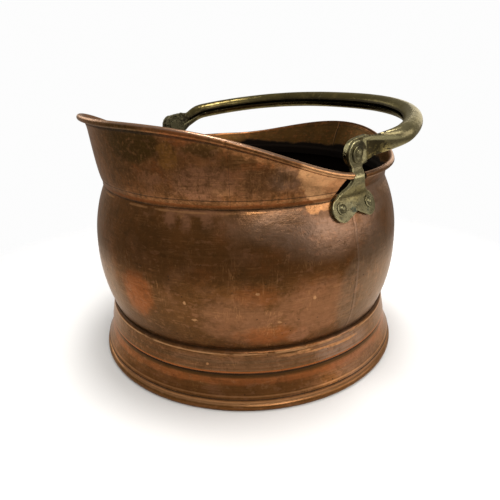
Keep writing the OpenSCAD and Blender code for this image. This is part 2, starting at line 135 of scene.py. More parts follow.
def addCamera():
    lens = bpy.data.cameras.new("photoCamera")
    lens.lens, lens.sensor_width = photoCamera["lens"], photoCamera["sensor"]
    lens.clip_start, lens.clip_end = photoCamera["clip"]
    camera = newObject("photoCamera", lens)
    turn = Matrix.Rotation(radians(photoCamera["turn"]), 4, "Z")
    pitch = Matrix.Rotation(radians(90 - photoCamera["pitch"]), 4, "X")
    roll = Matrix.Rotation(radians(photoCamera["roll"]), 4, "Z")
    place = Matrix.Translation(Vector(photoCamera["place"]) * millimetre)
    camera.matrix_world = place @ turn @ pitch @ roll
    scene.camera = camera


studio = {
    "floorSize": 6, "floorColour": (0.93, 0.925, 0.915), "floorRoughness": 0.75,
    "fadeStart": 0.28,  # metres from the middle where the floor starts to fade out
    "fadeEnd": 0.46,
    "seenColour": (0.98, 0.98, 0.98),
    # where each colour of the air starts, from straight down at 0 to straight up at 1
    "air": [(0.08, (0.42, 0.4, 0.37)), (0.24, (0.36, 0.34, 0.31)), (0.42, (0.36, 0.34, 0.31)),
            (0.58, (0.39, 0.38, 0.36)), (0.95, (0.56, 0.56, 0.56))],
    # the room is dark this way and has pale screens the other way
    "darkSide": (-0.74, -0.67, 0),
    "screenEdge": (0.45, -0.3),  # how much one looks that way where the screens start and are full
    "screens": (0.36, 0.34, 0.32),
    # name, place, aimed at, size, power, colour
    "lamps": [
        ("keyLamp", (-0.5, -1.9, 1.9), (0, 0, 0.12), (1.5, 1.1), 25, (1, 0.97, 0.92)),
        ("windowLamp", (0.95, -1.5, 0.55), (0, 0, 0.14), (1.5, 0.9), 9.5, (1, 0.95, 0.93)),
        ("sideLamp", (1.7, 0.5, 0.5), (0, 0, 0.14), (0.9, 0.8), 3.5, (1, 0.97, 0.93)),
        ("topLamp", (0.1, 0, 1.9), (0, 0, 0.1), (0.6, 0.35), 22, (1, 0.98, 0.95)),
        ("rearLamp", (-0.3, 1.9, 0.9), (0, 0, 0.15), (1, 0.6), 5, (1, 0.98, 0.95)),
    ],
}


def addAir():  # what the metal mirrors, and a plain pale backdrop for the camera
    world = bpy.data.worlds.new("studioAir")
    scene.world = world
    world.use_nodes = True
    tree = world.node_tree
    tree.nodes.clear()
    where = add(tree, "TexCoord").outputs["Generated"]
    height = add(tree, "MapRange", {"Value": axes(tree, where)["Z"], "From Min": -1}).outputs[0]
    ramp = add(tree, "ValToRGB", {0: height})
    stops = ramp.color_ramp.elements
    while len(stops) < len(studio["air"]):
        stops.new(0.5)
    for stop, (position, colour) in zip(stops, studio["air"]):
        stop.position, stop.color = position, (*colour, 1)
    lit = band(tree, vector(tree, "DOT_PRODUCT", where, studio["darkSide"]), *studio["screenEdge"])
    screens = add(tree, "VectorMath", {0: studio["screens"], "Scale": lit}, operation="SCALE").outputs[0]
    glow = add(tree, "Background", {"Color": vector(tree, "MAXIMUM", ramp.outputs[0], screens)})
    seen = add(tree, "Background", {"Color": studio["seenColour"]})
    camera = add(tree, "LightPath").outputs["Is Camera Ray"]
    choose = add(tree, "MixShader", {0: camera, 1: glow.outputs[0], 2: seen.outputs[0]})
    add(tree, "OutputWorld", {0: choose.outputs[0]})


def addLamps():
    for name, place, aim, size, power, colour in studio["lamps"]:
        lamp = bpy.data.lights.new(name, "AREA")
        lamp.shape, lamp.size, lamp.size_y = "RECTANGLE", *size
        lamp.energy, lamp.color = power, colour
        aimed = (Vector(aim) - Vector(place)).to_track_quat("-Z", "Y").to_matrix().to_4x4()
        newObject(name, lamp).matrix_world = Matrix.Translation(place) @ aimed


def addFloor():
    plane = bmesh.new()
    bmesh.ops.create_grid(plane, x_segments=2, y_segments=2, size=studio["floorSize"])
    mesh = bpy.data.meshes.new("floor")
    plane.to_mesh(mesh)
    plane.free()
    floor = newObject("floor", mesh)
    paint = bpy.data.materials.new("paleFloor")
    paint.use_nodes = True
    tree = paint.node_tree
    shader = tree.nodes["Principled BSDF"]
    shader.inputs["Base Color"].default_value = (*studio["floorColour"], 1)
    shader.inputs["Roughness"].default_value = studio["floorRoughness"]
    away = vector(tree, "LENGTH", objectPlace(tree))
    tree.links.new(band(tree, away, studio["fadeEnd"], studio["fadeStart"]), shader.inputs["Alpha"])
    floor.data.materials.append(paint)


addCamera()
addAir()
addLamps()
addFloor()
scene.view_settings.view_transform = "Standard"
print("camera, floor and light placed")


def lathe(profile, steps):  # a closed outline of (radius, height) turned about Z
    bm = bmesh.new()
    corners = [bm.verts.new((radius, 0, height)) for radius, height in profile]
    for first, second in zip(corners, corners[1:] + corners[:1]):
        bm.edges.new((first, second))
    bmesh.ops.spin(bm, geom=bm.verts[:] + bm.edges[:], cent=(0, 0, 0), axis=(0, 0, 1),
                   angle=2 * pi, steps=steps, use_merge=True)
    bmesh.ops.remove_doubles(bm, verts=bm.verts, dist=0.0005)
    bmesh.ops.recalc_face_normals(bm, faces=bm.faces)
    return bm


def dent(bm, piece, bottom, top):  # hand-made unevenness that leaves both ends of a turned shape alone
    for vert in bm.verts:
        above, below = vert.co.z - bottom - piece["calmLow"], top - piece["calmHigh"] - vert.co.z
        calm = smooth(above / piece["dentRise"]) * smooth(below / piece["dentFall"])
        uneven = wander(vert.co, piece["dentSize"], piece["dentSeed"])
        uneven += piece["ripples"] * wander(vert.co, piece["rippleSize"], piece["dentSeed"] + 1)
        wider = 1 + piece["dents"] * calm * uneven / hypot(vert.co.x, vert.co.y)
        vert.co.x *= wider
        vert.co.y *= wider


def formedSheet(columns, rows, place):  # a flat sheet bent so that place(u, v) gives each point
    bm = bmesh.new()
    bmesh.ops.create_grid(bm, x_segments=columns, y_segments=rows, size=0.5)
    across = bm.verts.layers.float.new("across")
    for vert in bm.verts:
        vert[across] = vert.co.y + 0.5
        vert.co = place(vert.co.x + 0.5, vert.co.y + 0.5)
    bm.normal_update()
    return bm


def faceOut(bm, outwards):  # turns a sheet so that its faces look along outwards(centre)
    bm.normal_update()
    agree = 0
    for face in bm.faces:
        agree += face.normal.dot(outwards(face.calc_center_median())) * face.calc_area()
    if agree < 0:
        bmesh.ops.reverse_faces(bm, faces=bm.faces)


def formedRod(columns, sides, place):  # a sheet closed into a rod, with both ends filled
    bm = formedSheet(columns, sides, place)
    bmesh.ops.remove_doubles(bm, verts=bm.verts, dist=0.0005)
    bmesh.ops.holes_fill(bm, edges=[edge for edge in bm.edges if edge.is_boundary], sides=0)
    bmesh.ops.recalc_face_normals(bm, faces=bm.faces)
    return bm


def finishPiece(bm, name, node, metal, body="scuttle",
                sheet=None, rounding=None, sharp=40):
    bmesh.ops.scale(bm, vec=(millimetre,) * 3, verts=bm.verts)
    mesh = bpy.data.meshes.new(name)
    bm.to_mesh(mesh)
    bm.free()
    mesh.polygons.foreach_set("use_smooth", [True] * len(mesh.polygons))
    if not sheet and not rounding:
        mesh.set_sharp_from_angle(angle=radians(sharp))
    mesh.materials.append(metals[metal])
    piece = newObject(name, mesh)
    if sheet:
        wall = piece.modifiers.new("wall", "SOLIDIFY")
        wall.thickness, wall.offset, wall.use_even_offset = sheet * millimetre, -1, True
    if rounding:
        edge = piece.modifiers.new("edge", "BEVEL")
        edge.width, edge.segments, edge.limit_method = rounding * millimetre, 2, "ANGLE"
        edge.angle_limit, edge.harden_normals = radians(50), True
    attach(piece, body)
    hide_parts(node)


def evenMesh(mesh, voxel):  # the same shape in small even faces
    holder = newObject("evenShape", mesh)
    cast = holder.modifiers.new("cast", "REMESH")
    cast.mode, cast.voxel_size = "VOXEL", voxel * millimetre
    even = bpy.data.meshes.new_from_object(holder.evaluated_get(bpy.context.evaluated_depsgraph_get()))
    bpy.data.objects.remove(holder)
    return even


def markWorn(bm, rounds, gain):  # 0.5 on flats, more on edges and less in creases
    places = np.array([vert.co for vert in bm.verts])
    pairs = np.array([[vert.index for vert in edge.verts] for edge in bm.edges])
    ends, others = np.concatenate((pairs, pairs[:, ::-1])).T
    links = np.bincount(ends, minlength=len(places))[:, None]
    calm = places.copy()
    for _ in range(rounds):
        near = [np.bincount(ends, weights=calm[others, axis], minlength=len(places)) for axis in range(3)]
        calm = 0.5 * calm + 0.5 * np.stack(near, axis=1) / links
    proud = ((places - calm) * np.array([vert.normal for vert in bm.verts])).sum(axis=1)
    worn = bm.verts.layers.float.new("worn")
    for vert, lift in zip(bm.verts, proud):
        vert[worn] = min(1, max(0, 0.5 + gain * lift / millimetre))


def finishCast(bm, name, node, metal, body, voxel, rounds, lumps):  # softened, worn and lumpy
    rough = bpy.data.meshes.new(name)
    bm.to_mesh(rough)
    bm.clear()
    bm.from_mesh(evenMesh(rough, voxel))
    bm.normal_update()
    bm.verts.index_update()
    markWorn(bm, rounds=24, gain=1.6)
    for _ in range(rounds):
        bmesh.ops.smooth_vert(bm, verts=bm.verts, factor=0.5,
                              use_axis_x=True, use_axis_y=True, use_axis_z=True)
    bmesh.ops.scale(bm, vec=(1 / millimetre,) * 3, verts=bm.verts)
    for vert in bm.verts:  # lumps about 5 mm wide, with smaller ones on them
        vert.co += vert.normal * lumps * (wander(vert.co, 5, 21) + 0.6 * wander(vert.co, 2.2, 22))
    finishPiece(bm, name, node, metal, body, sharp=180)


def castCopy(node, name, metal, voxel, rounds, lumps):  # a CAD piece, finished as a casting
    bm = bmesh.new()
    bm.from_mesh(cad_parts[node].data)
    bmesh.ops.remove_doubles(bm, verts=bm.verts, dist=1e-6)
    finishCast(bm, name, node, metal, "scuttle", voxel, rounds, lumps)


paints = {  # colour, roughness and how metallic it is; copper unless it says otherwise
    "brown": ((0.158, 0.063, 0.019), 0.28, 0.97),
    "red": ((0.25, 0.101, 0.036), 0.28, 0.98),
    "dark": ((0.07, 0.032, 0.01), 0.34, 0.93),
    "olive": ((0.07, 0.038, 0.009), 0.38, 0.9),
    "orange": ((0.3, 0.093, 0.027), 0.31, 0.98),
    "fiery": ((0.3, 0.082, 0.021), 0.3, 0.98),
    "khaki": ((0.15, 0.092, 0.053), 0.32, 0.95),
    "pink": ((0.3, 0.134, 0.066), 0.29, 0.98),
    "tan": ((0.29, 0.126, 0.031), 0.3, 0.98),
    # also used for painted sheen on the belly, the foot and the rolled edges
    "grey": ((0.26, 0.168, 0.118), 0.3, 0.95),
    # polish and flecks, and also painted highlights on the foot and the rolled edges
    "bright": ((0.5, 0.235, 0.095), 0.27, 1),
    # rubbed copper, and also a painted highlight on the foot band's top and on its rolled bead
    "scoured": ((0.54, 0.28, 0.125), 0.31, 1),
    # dirt, and also painted shade under edges, in the foot's undercut, beside the pin head and along the
    # handle's slit
    "grime": ((0.012, 0.008, 0.004), 0.65, 0.1),
    # painted shade: near black for inward walls where no light falls
    "soot": ((0.0015, 0.001, 0.0008), 1, 0),
    "rust": ((0.06, 0.03, 0.018), 0.8, 0.2),
    "verdigris": ((0.045, 0.07, 0.058), 0.8, 0.1),
    "paleBrass": ((0.15, 0.134, 0.072), 0.32, 0.93),
    "oldBrass": ((0.098, 0.076, 0.026), 0.15, 0.97),
    "dullBrass": ((0.086, 0.071, 0.032), 0.33, 0.95),
    "satinBrass": ((0.18, 0.154, 0.082), 0.31, 0.95),
    "darkBrass": ((0.04, 0.03, 0.011), 0.34, 0.85),
    "goldBrass": ((0.27, 0.205, 0.072), 0.24, 1),
    # rubbed brass, and also painted highlights on the handle, its ends, the bracket and the pin
    "brightBrass": ((0.66, 0.59, 0.31), 0.18, 1),
}


def cloudsMask(tree, place, size, low, high, stretch, shift):
    moved = vector(tree, "MULTIPLY_ADD", place, stretch, shift)
    return band(tree, cloud(tree, moved, calc(tree, "DIVIDE", 1, size), 5), low, high)


def patchMask(tree, place, centre, size, ragged, grain, soft):  # an egg-shaped patch with a torn edge
    away = vector(tree, "DIVIDE", vector(tree, "SUBTRACT", place, centre), size)
    scale = calc(tree, "DIVIDE", 1, grain)
    edge = frayed(tree, vector(tree, "LENGTH", away), place, scale, ragged, 5)
    return band(tree, edge, calc(tree, "ADD", 1, soft), calc(tree, "SUBTRACT", 1, soft))


def ringMask(tree, place, level, width, wobble, broken, back):  # a level line round the scuttle
    along, _, height = axes(tree, place)
    away = calc(tree, "DIVIDE", apart(tree, height, level), width)
    away = frayed(tree, away, place, 90, wobble)
    gaps = calc(tree, "MULTIPLY_ADD", broken, -0.55, cloud(tree, place, 38))
    here = band(tree, calc(tree, "SUBTRACT", back, along), 0, 0.02)
    return product(tree, band(tree, away, 1, 0.25), band(tree, gaps, -0.1, 0.07), here)


def linesMask(tree, place, fineness, run, low, high):  # fine rings left by spinning and polishing
    stretch = add(tree, "CombineXYZ", {0: run, 1: run, 2: fineness}).outputs[0]
    return band(tree, cloud(tree, vector(tree, "MULTIPLY", place, stretch), 1, 3, 0.7), low, high)


def scratchesMask(tree, place, turn, stretch, width, share):
    turned = add(tree, "Mapping", {"Vector": place, "Rotation": turn, "Scale": stretch}).outputs[0]
    line = band(tree, apart(tree, cloud(tree, turned, 1, 1), 0.5), width, 0)
    own = cloud(tree, vector(tree, "MULTIPLY_ADD", turn, (9, 9, 9), place), 60, 2)
    return product(tree, line, band(tree, own, share, calc(tree, "ADD", share, 0.1)))


def uprightMask(tree, place, middle, width, wobble, low, high):  # an upright seam on the near side
    along, across, height = axes(tree, place)
    away = apart(tree, along, frayed(tree, middle, place, 30, 0.006))
    away = frayed(tree, calc(tree, "DIVIDE", away, width), place, 160, wobble)
    start = band(tree, height, low, calc(tree, "ADD", low, 0.006))
    end = band(tree, height, high, calc(tree, "SUBTRACT", high, 0.006))
    return product(tree, band(tree, away, 1, 0.2), start, end, calc(tree, "LESS_THAN", across, 0))


def pitsMask(tree, place, size, share, reach):
    cells = add(tree, "TexVoronoi", {"Vector": place, "Scale": calc(tree, "DIVIDE", 1, size)}).outputs
    chosen = calc(tree, "LESS_THAN", axes(tree, cells["Color"])["X"], share)
    return product(tree, band(tree, cells["Distance"], reach, 0.05), chosen)


def insideMask(tree, place, low, high):  # walls that look towards the middle, up to their rolled edges
    outward = vector(tree, "NORMALIZE", vector(tree, "MULTIPLY", place, (1, 1, 0)))
    facing = vector(tree, "DOT_PRODUCT", add(tree, "TexCoord").outputs["Normal"], outward)
    wall = band(tree, marked(tree, "across"), 0.7, 0.64)
    height = frayed(tree, axes(tree, place)["Z"], place, 40, 0.012)
    return product(tree, band(tree, facing, 0, -0.3), wall, band(tree, height, high, low))


def acrossMask(tree, place, middle, width, wobble):  # a strip of a formed sheet, measured up its width
    away = calc(tree, "DIVIDE", apart(tree, marked(tree, "across"), middle), width)
    return band(tree, frayed(tree, away, place, 80, wobble), 1, 0.3)


def wornMask(tree, place, low, high, patchy):  # proud edges, or creases where the limits are swapped
    return band(tree, frayed(tree, marked(tree, "worn"), place, 260, patchy), low, high)


# makes a shared node group with one mask, and gives a function that lists one layer of it from its first
# few inputs, the paint, how much of it and the depth in millimetres
def newEffect(name, mask, always, **inputs):
    tree = bpy.data.node_groups.new(name, "ShaderNodeTree")
    for label, value in inputs.items():
        kind = "NodeSocketVector" if isinstance(value, tuple) else "NodeSocketFloat"
        tree.interface.new_socket(label, in_out="INPUT", socket_type=kind).default_value = value
    tree.interface.new_socket("mask", in_out="OUTPUT", socket_type="NodeSocketFloat")
    given = tree.nodes.new("NodeGroupInput").outputs[:len(inputs)]
    result = mask(tree, objectPlace(tree), *given)
    tree.links.new(result, tree.nodes.new("NodeGroupOutput").inputs["mask"])

    def layer(*row, **more):
        paint, strength, depth = (*row[always:], 0)[:3]
        return tree, dict(zip(inputs, row[:always])) | more, paint, strength, depth

    return layer


clouds = newEffect("clouds", cloudsMask, 3, size=1, low=0.4, high=0.6, stretch=(1, 1, 1), shift=(0, 0, 0))
patch = newEffect("patch", patchMask, 5, centre=(0, 0, 0), size=(1, 1, 1), ragged=1, grain=1, soft=0.3)
ring = newEffect("ring", ringMask, 3, level=0, width=1, wobble=0.5, broken=0, back=1)
spun = newEffect("lines", linesMask, 4, fineness=1, run=1, low=0.4, high=0.6)
scratch = newEffect("scratches", scratchesMask, 4, turn=(0, 0, 0), stretch=(1, 1, 1), width=1, share=0.5)
pits = newEffect("pits", pitsMask, 3, size=1, share=0.5, reach=0.2)
inside = newEffect("inside", insideMask, 2, low=0, high=1)
strip = newEffect("across", acrossMask, 3, middle=0.5, width=1, wobble=0.5)
edges = newEffect("worn", wornMask, 3, low=0.5, high=1, patchy=0.5)
seam = newEffect("upright", uprightMask, 2, middle=0, width=1, wobble=0.8, low=0.052, high=0.16)


def spot(x, y, z, wide, high, paint, strength, ragged=0.9, grain=14, soft=0.3):  # in millimetres
    centre, size = (x / 1000, y / 1000, z / 1000), (wide / 1000, wide / 1000, high / 1000)
    return patch(centre, size, ragged, grain / 1000, soft, paint, strength)


def rimStrips(grey, bright):  # painted shade under a rolled edge, and along its top a painted sheen and a line of rubbed copper with a painted highlight
    return [
        strip(0.635, 0.022, 0.8, "grime", 0.65),
        strip(0.86, 0.17, 0.5, "dark", 0.12),
        strip(0.78, 0.06, 0.8, "pink", 0.45),
        strip(0.83, 0.05, 0.8, "grey", grey),
        strip(0.815, 0.022, 1.4, "bright", bright),
    ]


specular = 0.12  # low, as a metal has no clear coat


def layeredMetal(name, base, edge, layers):
    material = bpy.data.materials.new(name)
    material.use_nodes = True
    tree = material.node_tree
    shader = tree.nodes["Principled BSDF"]
    colour, roughness, metallic = paints[base]
    height = 0
    for group, values, paint, strength, depth in layers:
        node = add(tree, "Group", node_tree=group)
        for label, value in values.items():
            node.inputs[label].default_value = value
        if paint:
            newColour, newRoughness, newMetallic = paints[paint]
            mask = product(tree, node.outputs[0], strength)
            colour = add(tree, "Mix", {0: mask, 6: colour, 7: newColour}, data_type="RGBA").outputs[2]
            roughness = add(tree, "Mix", {0: mask, 2: roughness, 3: newRoughness}).outputs[0]
            metallic = add(tree, "Mix", {0: mask, 2: metallic, 3: newMetallic}).outputs[0]
        if depth:
            height = calc(tree, "MULTIPLY_ADD", node.outputs[0], depth, height)
    bump = add(tree, "Bump", {"Height": height, "Distance": millimetre}).outputs[0]
    shader.inputs["Specular IOR Level"].default_value = specular
    shader.inputs["Specular Tint"].default_value = (*edge, 1)  # keeps the metal's hue at grazing angles
    sockets = {"Base Color": colour, "Roughness": roughness, "Metallic": metallic, "Normal": bump}
    for label, socket in sockets.items():
        tree.links.new(socket, shader.inputs[label])
    return material


wear = [
    clouds(0.016, 0.25, 0.75, None, 0, 0.22, shift=(4.4, 2, 8)),
    clouds(0.01, 0.54, 0.62, "dark", 0.3, 0.02, stretch=(1, 1, 1.3), shift=(8.1, 2.3, 5)),
    clouds(0.008, 0.56, 0.66, "pink", 0.32, stretch=(1, 1, 2), shift=(2.1, 9.3, 1)),
    clouds(0.003, 0.46, 0.7, "dark", 0.25, 0.015),
    clouds(0.003, 0.54, 0.74, "bright", 0.12, shift=(3.3, 1, 6)),
    pits(0.005, 0.14, 0.17, "grime", 0.7, -0.05),
    pits(0.016, 0.08, 0.09, "bright", 0.7, -0.05),
    scratch((0.1, 0.2, 0), (420, 420, 22), 0.03, 0.56, "bright", 0.28, -0.02),
    scratch((0.5, 0.9, 0.3), (340, 340, 30), 0.028, 0.57, "bright", 0.2, -0.02),
    scratch((0, 0.1, 0.8), (14, 14, 420), 0.045, 0.53, "bright", 0.15, -0.02),
    scratch((0.06, -0.1, 1.6), (16, 16, 380), 0.05, 0.53, "dark", 0.25, -0.02),
]

barrelLayers = [
    clouds(0.06, 0.4, 0.66, "dark", 0.45, 0.05, stretch=(1, 1, 1.4)),
    clouds(0.034, 0.5, 0.7, "orange", 0.34, shift=(3.1, 0.7, 2.2)),
    clouds(0.024, 0.52, 0.72, "pink", 0.42, shift=(5.7, 1.9, 0.4)),
    clouds(0.012, 0.48, 0.66, "dark", 0.34, 0.02, shift=(1.3, 4.4, 7.1)),
    spot(-92, -112, 130, 66, 15, "dark", 0.3, 0.5, 30),
    spot(-140, -38, 128, 30, 30, "dark", 0.4, 0.8, 20, 0.45),
    ring(0.076, 0.036, 0.8, "dark", 0.52),
    spot(-140, -30, 82, 34, 30, "dark", 0.45, 0.9, 20, 0.4),
    spot(-142, -33, 94, 17, 19, "fiery", 0.65, 1.1, 14, 0.35),
    # painted reflection: a pale khaki band down the left flank
    spot(-142, 35, 88, 42, 46, "khaki", 0.6, 0.4, 20, 0.15),
    spot(-96, -108, 82, 28, 22, "pink", 0.45, 1.3, 11),
    spot(-85, -118, 104, 16, 9, "orange", 0.4, 1.3, 8, 0.45),
    spot(-39, -139, 88, 36, 24, "pink", 0.5, 1.1, 12),
    spot(-74, -120, 66, 22, 9, "orange", 0.7, 1.4, 9, 0.45),
    spot(-52, -130, 62, 9, 6, "pink", 0.8, 1.3, 6, 0.45),
    # painted sheen: the next two grey patches are reflections on the upper belly and the right side
    spot(-30, -137, 142, 36, 15, "grey", 0.5, 0.8, 20, 0.5),
    spot(20, -142, 118, 18, 40, "grey", 0.6, 0.8, 20, 0.5),
    spot(28, -138, 85, 50, 50, "khaki", 0.75, 0.4, 20, 0.1),
    # painted sheen: the next three grey patches are reflections on the upper right belly and the collar
    spot(26, -137, 158, 22, 9, "grey", 0.7, 0.8, 15, 0.4),
    spot(34, -132, 174, 26, 9, "grey", 0.8, 0.8, 12, 0.5),
    spot(-56, -128, 156, 44, 12, "grey", 0.45, 1, 20, 0.6),
    spot(-121, -62, 162, 5, 8, "pink", 0.9, 1.8, 4, 0.6),
    spot(-115, -74, 160, 4, 9, "pink", 0.9, 1.8, 4, 0.6),
    spot(-104, -86, 162, 4, 8, "pink", 0.9, 1.8, 4, 0.6),
    spot(-118, -70, 164, 3, 3, "bright", 0.5, 1.8, 3, 0.6),
    spot(-109, -80, 166, 20, 3, "pink", 0.7, 1.3, 6, 0.45),
    spot(-37, -129, 166, 7, 5, "bright", 0.95, 1.2, 6, 0.12),
    spot(-22, -134, 165, 12, 3, "bright", 0.8, 1.2, 5, 0.15),
    spot(-85, -119, 106, 1.5, 1.1, "scoured", 0.7, 2.2, 1.6),
    spot(-124, -77, 96, 1.1, 1.7, "scoured", 0.7, 2.2, 1.6),
    spot(-119, -82, 81, 2.2, 1.2, "scoured", 0.5, 2.6, 1.6),
    spot(-44, -139, 97, 1.3, 1.5, "scoured", 0.6, 2.2, 1.6),
    spot(-69, -126, 79, 1.6, 1.1, "scoured", 0.5, 2.4, 1.6),
    seam(-0.002, 0.0016, "grey", 0.4, 0.06),
    seam(-0.004, 0.0007, "grime", 0.45, -0.03, wobble=2.2),
    spun(700, 6, 0.48, 0.75, "bright", 0.07, 0.008),
    spun(330, 3, 0.5, 0.72, "dark", 0.16, 0.01),
    *wear,
    ring(0.1655, 0.0011, 1.8, "bright", 0.6, 0.05, broken=1, back=0),
    # painted shadow: a dark line under the spout's lower edge, along the joint
    ring(0.169, 0.0022, 1.2, "grime", 0.85, back=0),
    ring(0.051, 0.0016, 1.4, "grime", 0.75),
    # painted shade: the inward wall below the throat is painted near black
    inside(0.166, 0.173, "soot", 0.98),
]

footLayers = [
    clouds(0.05, 0.42, 0.7, "dark", 0.35, 0.04, stretch=(1, 1, 2.5)),
    clouds(0.03, 0.45, 0.7, "pink", 0.5, stretch=(1, 1, 3), shift=(2, 5, 1)),
    ring(0.04, 0.012, 0.8, "khaki", 0.55),
    ring(0.0245, 0.0046, 1.6, "orange", 0.75, broken=0.4),
    ring(0.007, 0.008, 0.8, "olive", 0.35),
    spot(-140, -24, 40, 36, 16, "dark", 0.7, 0.9, 20, 0.4),
    # painted sheen: grey patches on the right of the foot band and skirt
    spot(-6, -146, 40, 30, 10, "grey", 0.7, 0.9, 20, 0.4),
    spot(14, -150, 20, 34, 14, "grey", 0.3, 0.9, 20, 0.4),
    # painted highlights: short bright streaks along the top of the foot band
    spot(-60, -132, 45, 14, 1.2, "bright", 0.6, 1.2, 6),
    spot(-28, -140, 44, 16, 1, "bright", 0.9, 1.2, 6),
    spot(-8, -143, 43, 18, 1.2, "bright", 0.9, 1, 6),
    spot(-48, -136, 46, 8, 1, "bright", 0.9, 1.4, 6),
    spot(-18, -146, 21, 2.2, 2.6, "bright", 0.95, 0.8, 3),
    spun(600, 3, 0.45, 0.62, "orange", 0.22, 0.012),
    spun(1100, 4, 0.48, 0.66, "dark", 0.4, 0.015),
    *wear,
    ring(0.051, 0.0014, 1, "grime", 0.6),
    # partly rubbed copper, partly a painted highlight along the band's rounded top
    ring(0.0485, 0.0012, 1, "scoured", 0.55, 0.04, broken=0.8),
    ring(0.047, 0.001, 1, "dark", 0.8, broken=1),
    # painted shade: the undercut below the band's edge is painted dark
    ring(0.029, 0.0026, 0.8, "dark", 0.9),
    ring(0.0302, 0.001, 0.5, "grime", 0.8),
    ring(0.033, 0.001, 0.5, "orange", 0.95),
    # painted highlight: a bright line on the step above the rolled bead
    ring(0.0132, 0.0009, 1, "bright", 0.4, broken=0.6),
    ring(0.0108, 0.001, 0.7, "grime", 0.75),
    # partly rubbed copper, partly a painted highlight on the rolled bead
    ring(0.0074, 0.0022, 0.7, "scoured", 0.45),
    ring(0, 0.0018, 0.7, "grime", 0.8),
    # painted shade: the foot's inward walls are painted dark
    inside(0.06, 0.07, "soot", 0.8),
]

spoutLayers = [
    clouds(0.04, 0.42, 0.66, "dark", 0.45, 0.06, stretch=(1, 1, 0.8)),
    clouds(0.022, 0.5, 0.7, "pink", 0.5, shift=(2.1, 3.3, 6)),
    clouds(0.016, 0.52, 0.7, "orange", 0.45, shift=(7.7, 0.3, 3)),
    spot(-136, -38, 216, 27, 15, "olive", 0.95, 0.7, 12, 0.15),
    spot(-138, -12, 214, 22, 30, "olive", 0.6, 0.9, 12, 0.4),
    spot(-135, -30, 192, 14, 5, "dark", 0.5, 1.2, 8, 0.4),
    spot(-116, -80, 222, 16, 6, "orange", 0.8, 1.2, 10),
    spot(-108, -90, 213, 13, 5, "olive", 0.75, 1.4, 5),
    spot(-92, -104, 204, 10, 6, "olive", 0.5, 1.4, 5),
    spot(-123, -68, 208, 8, 10, "tan", 0.85, 1.3, 8),
    spot(-130, -52, 190, 12, 5, "pink", 0.5, 1.6, 6),
    spot(-78, -112, 200, 12, 3, "orange", 0.6, 1.6, 6),
    spot(-100, -94, 198, 9, 4, "dark", 0.6, 1.8, 5),
    spot(-109, -86, 188, 22, 13, "pink", 0.9, 1.1, 8),
    spot(-84, -108, 188, 22, 11, "pink", 0.35, 1.3, 8),
    spot(-74, -116, 190, 15, 11, "dark", 0.5, 1.3, 8),
    spot(-98, -96, 182, 9, 3, "bright", 0.35, 1.3, 4),
    spot(-60, -125, 190, 12, 9, "grey", 0.4, 1, 10, 0.5),
    spot(-60, -124, 192, 8, 4, "dark", 0.5, 1.4, 5, 0.4),
    spot(10, -138, 206, 66, 54, "bright", 1, 0.3, 7, 0.03),
    spot(-30, -134, 187, 15, 5, "orange", 0.55, 1.4, 4),
    spot(-38, -132, 178, 8, 3, "brown", 0.6, 1.4, 3),
    spot(-20, -136, 175, 9, 4, "orange", 0.6, 1.4, 3),
    spot(-14, -137, 183, 6, 5, "brown", 0.5, 1.4, 3),
    spot(-41, -131, 189, 4, 3, "dark", 0.6, 1.4, 2),
    spun(500, 12, 0.5, 0.75, "dark", 0.22, 0.02),
    clouds(0.006, 0.53, 0.64, "dark", 0.45, 0.02, stretch=(1.4, 1.4, 0.25), shift=(1.5, 2, 3)),
    clouds(0.0036, 0.46, 0.6, "dark", 0.38, 0.02, shift=(6.1, 1.5, 2)),
    clouds(0.003, 0.54, 0.66, "bright", 0.26, shift=(2.8, 7, 6)),
    spot(10, -138, 206, 66, 54, "scoured", 0.75, 0.3, 7, 0.03),
    spot(-16, -136, 180, 14, 7, "orange", 0.4, 2, 5),
    *wear,
    # painted shadow: darker along the spout's lower edge, at the joint
    ring(0.168, 0.0014, 1.2, "grime", 0.75),
    ring(0.1706, 0.0016, 1.2, "orange", 0.7, broken=0.4),
    ring(0.1752, 0.0007, 1, "grime", 0.55, -0.04, broken=0.3),
    *rimStrips(0.8, 0.3),
    # painted shade: the spout's inward wall is painted near black lower down
    inside(0.22, 0.25, "soot", 0.88),
]

backLayers = [
    clouds(0.045, 0.4, 0.68, "dark", 0.6, 0.06, stretch=(1, 1, 1.6)),
    clouds(0.02, 0.5, 0.72, "orange", 0.35, stretch=(1, 1, 2), shift=(4.1, 1.3, 2)),
    clouds(0.016, 0.52, 0.74, "pink", 0.3, shift=(0.7, 6.3, 3)),
    spot(136, -4, 190, 26, 30, "dark", 0.8, 1.2, 10, 0.4),
    spot(114, -66, 188, 46, 24, "dark", 0.8, 0.9, 14, 0.4),
    spot(130, 40, 186, 8, 14, "grime", 0.5, 1.4, 6, 0.4),
    spun(500, 8, 0.5, 0.75, "dark", 0.25, 0.02),
    *wear,
    *rimStrips(0.5, 0.15),
    # painted shade: the back's inward wall is painted darker lower down
    inside(0.205, 0.225, "olive", 0.66),
    clouds(0.012, 0.5, 0.66, "dark", 0.5, 0.02, stretch=(1, 1, 4), shift=(2, 4, 9)),
    clouds(0.005, 0.52, 0.66, "orange", 0.25, stretch=(1, 1, 2), shift=(6, 4, 1)),
    patch((0.139, 0.0038, 0.187), (0.014, 0.0007, 0.019), 1.1, 0.006, 0.5, "bright", 0.35),
    patch((0.139, 0.0022, 0.187), (0.014, 0.0008, 0.022), 0.9, 0.006, 0.5, "grime", 0.6),
    # painted shade: the back's inward wall is painted near black below the throat
    inside(0.175, 0.1785, "soot", 0.98),
]

wireLayers = [
    clouds(0.02, 0.4, 0.68, "dark", 0.5, 0.03),
    clouds(0.002, 0.45, 0.7, "pink", 0.5, 0.02),
]

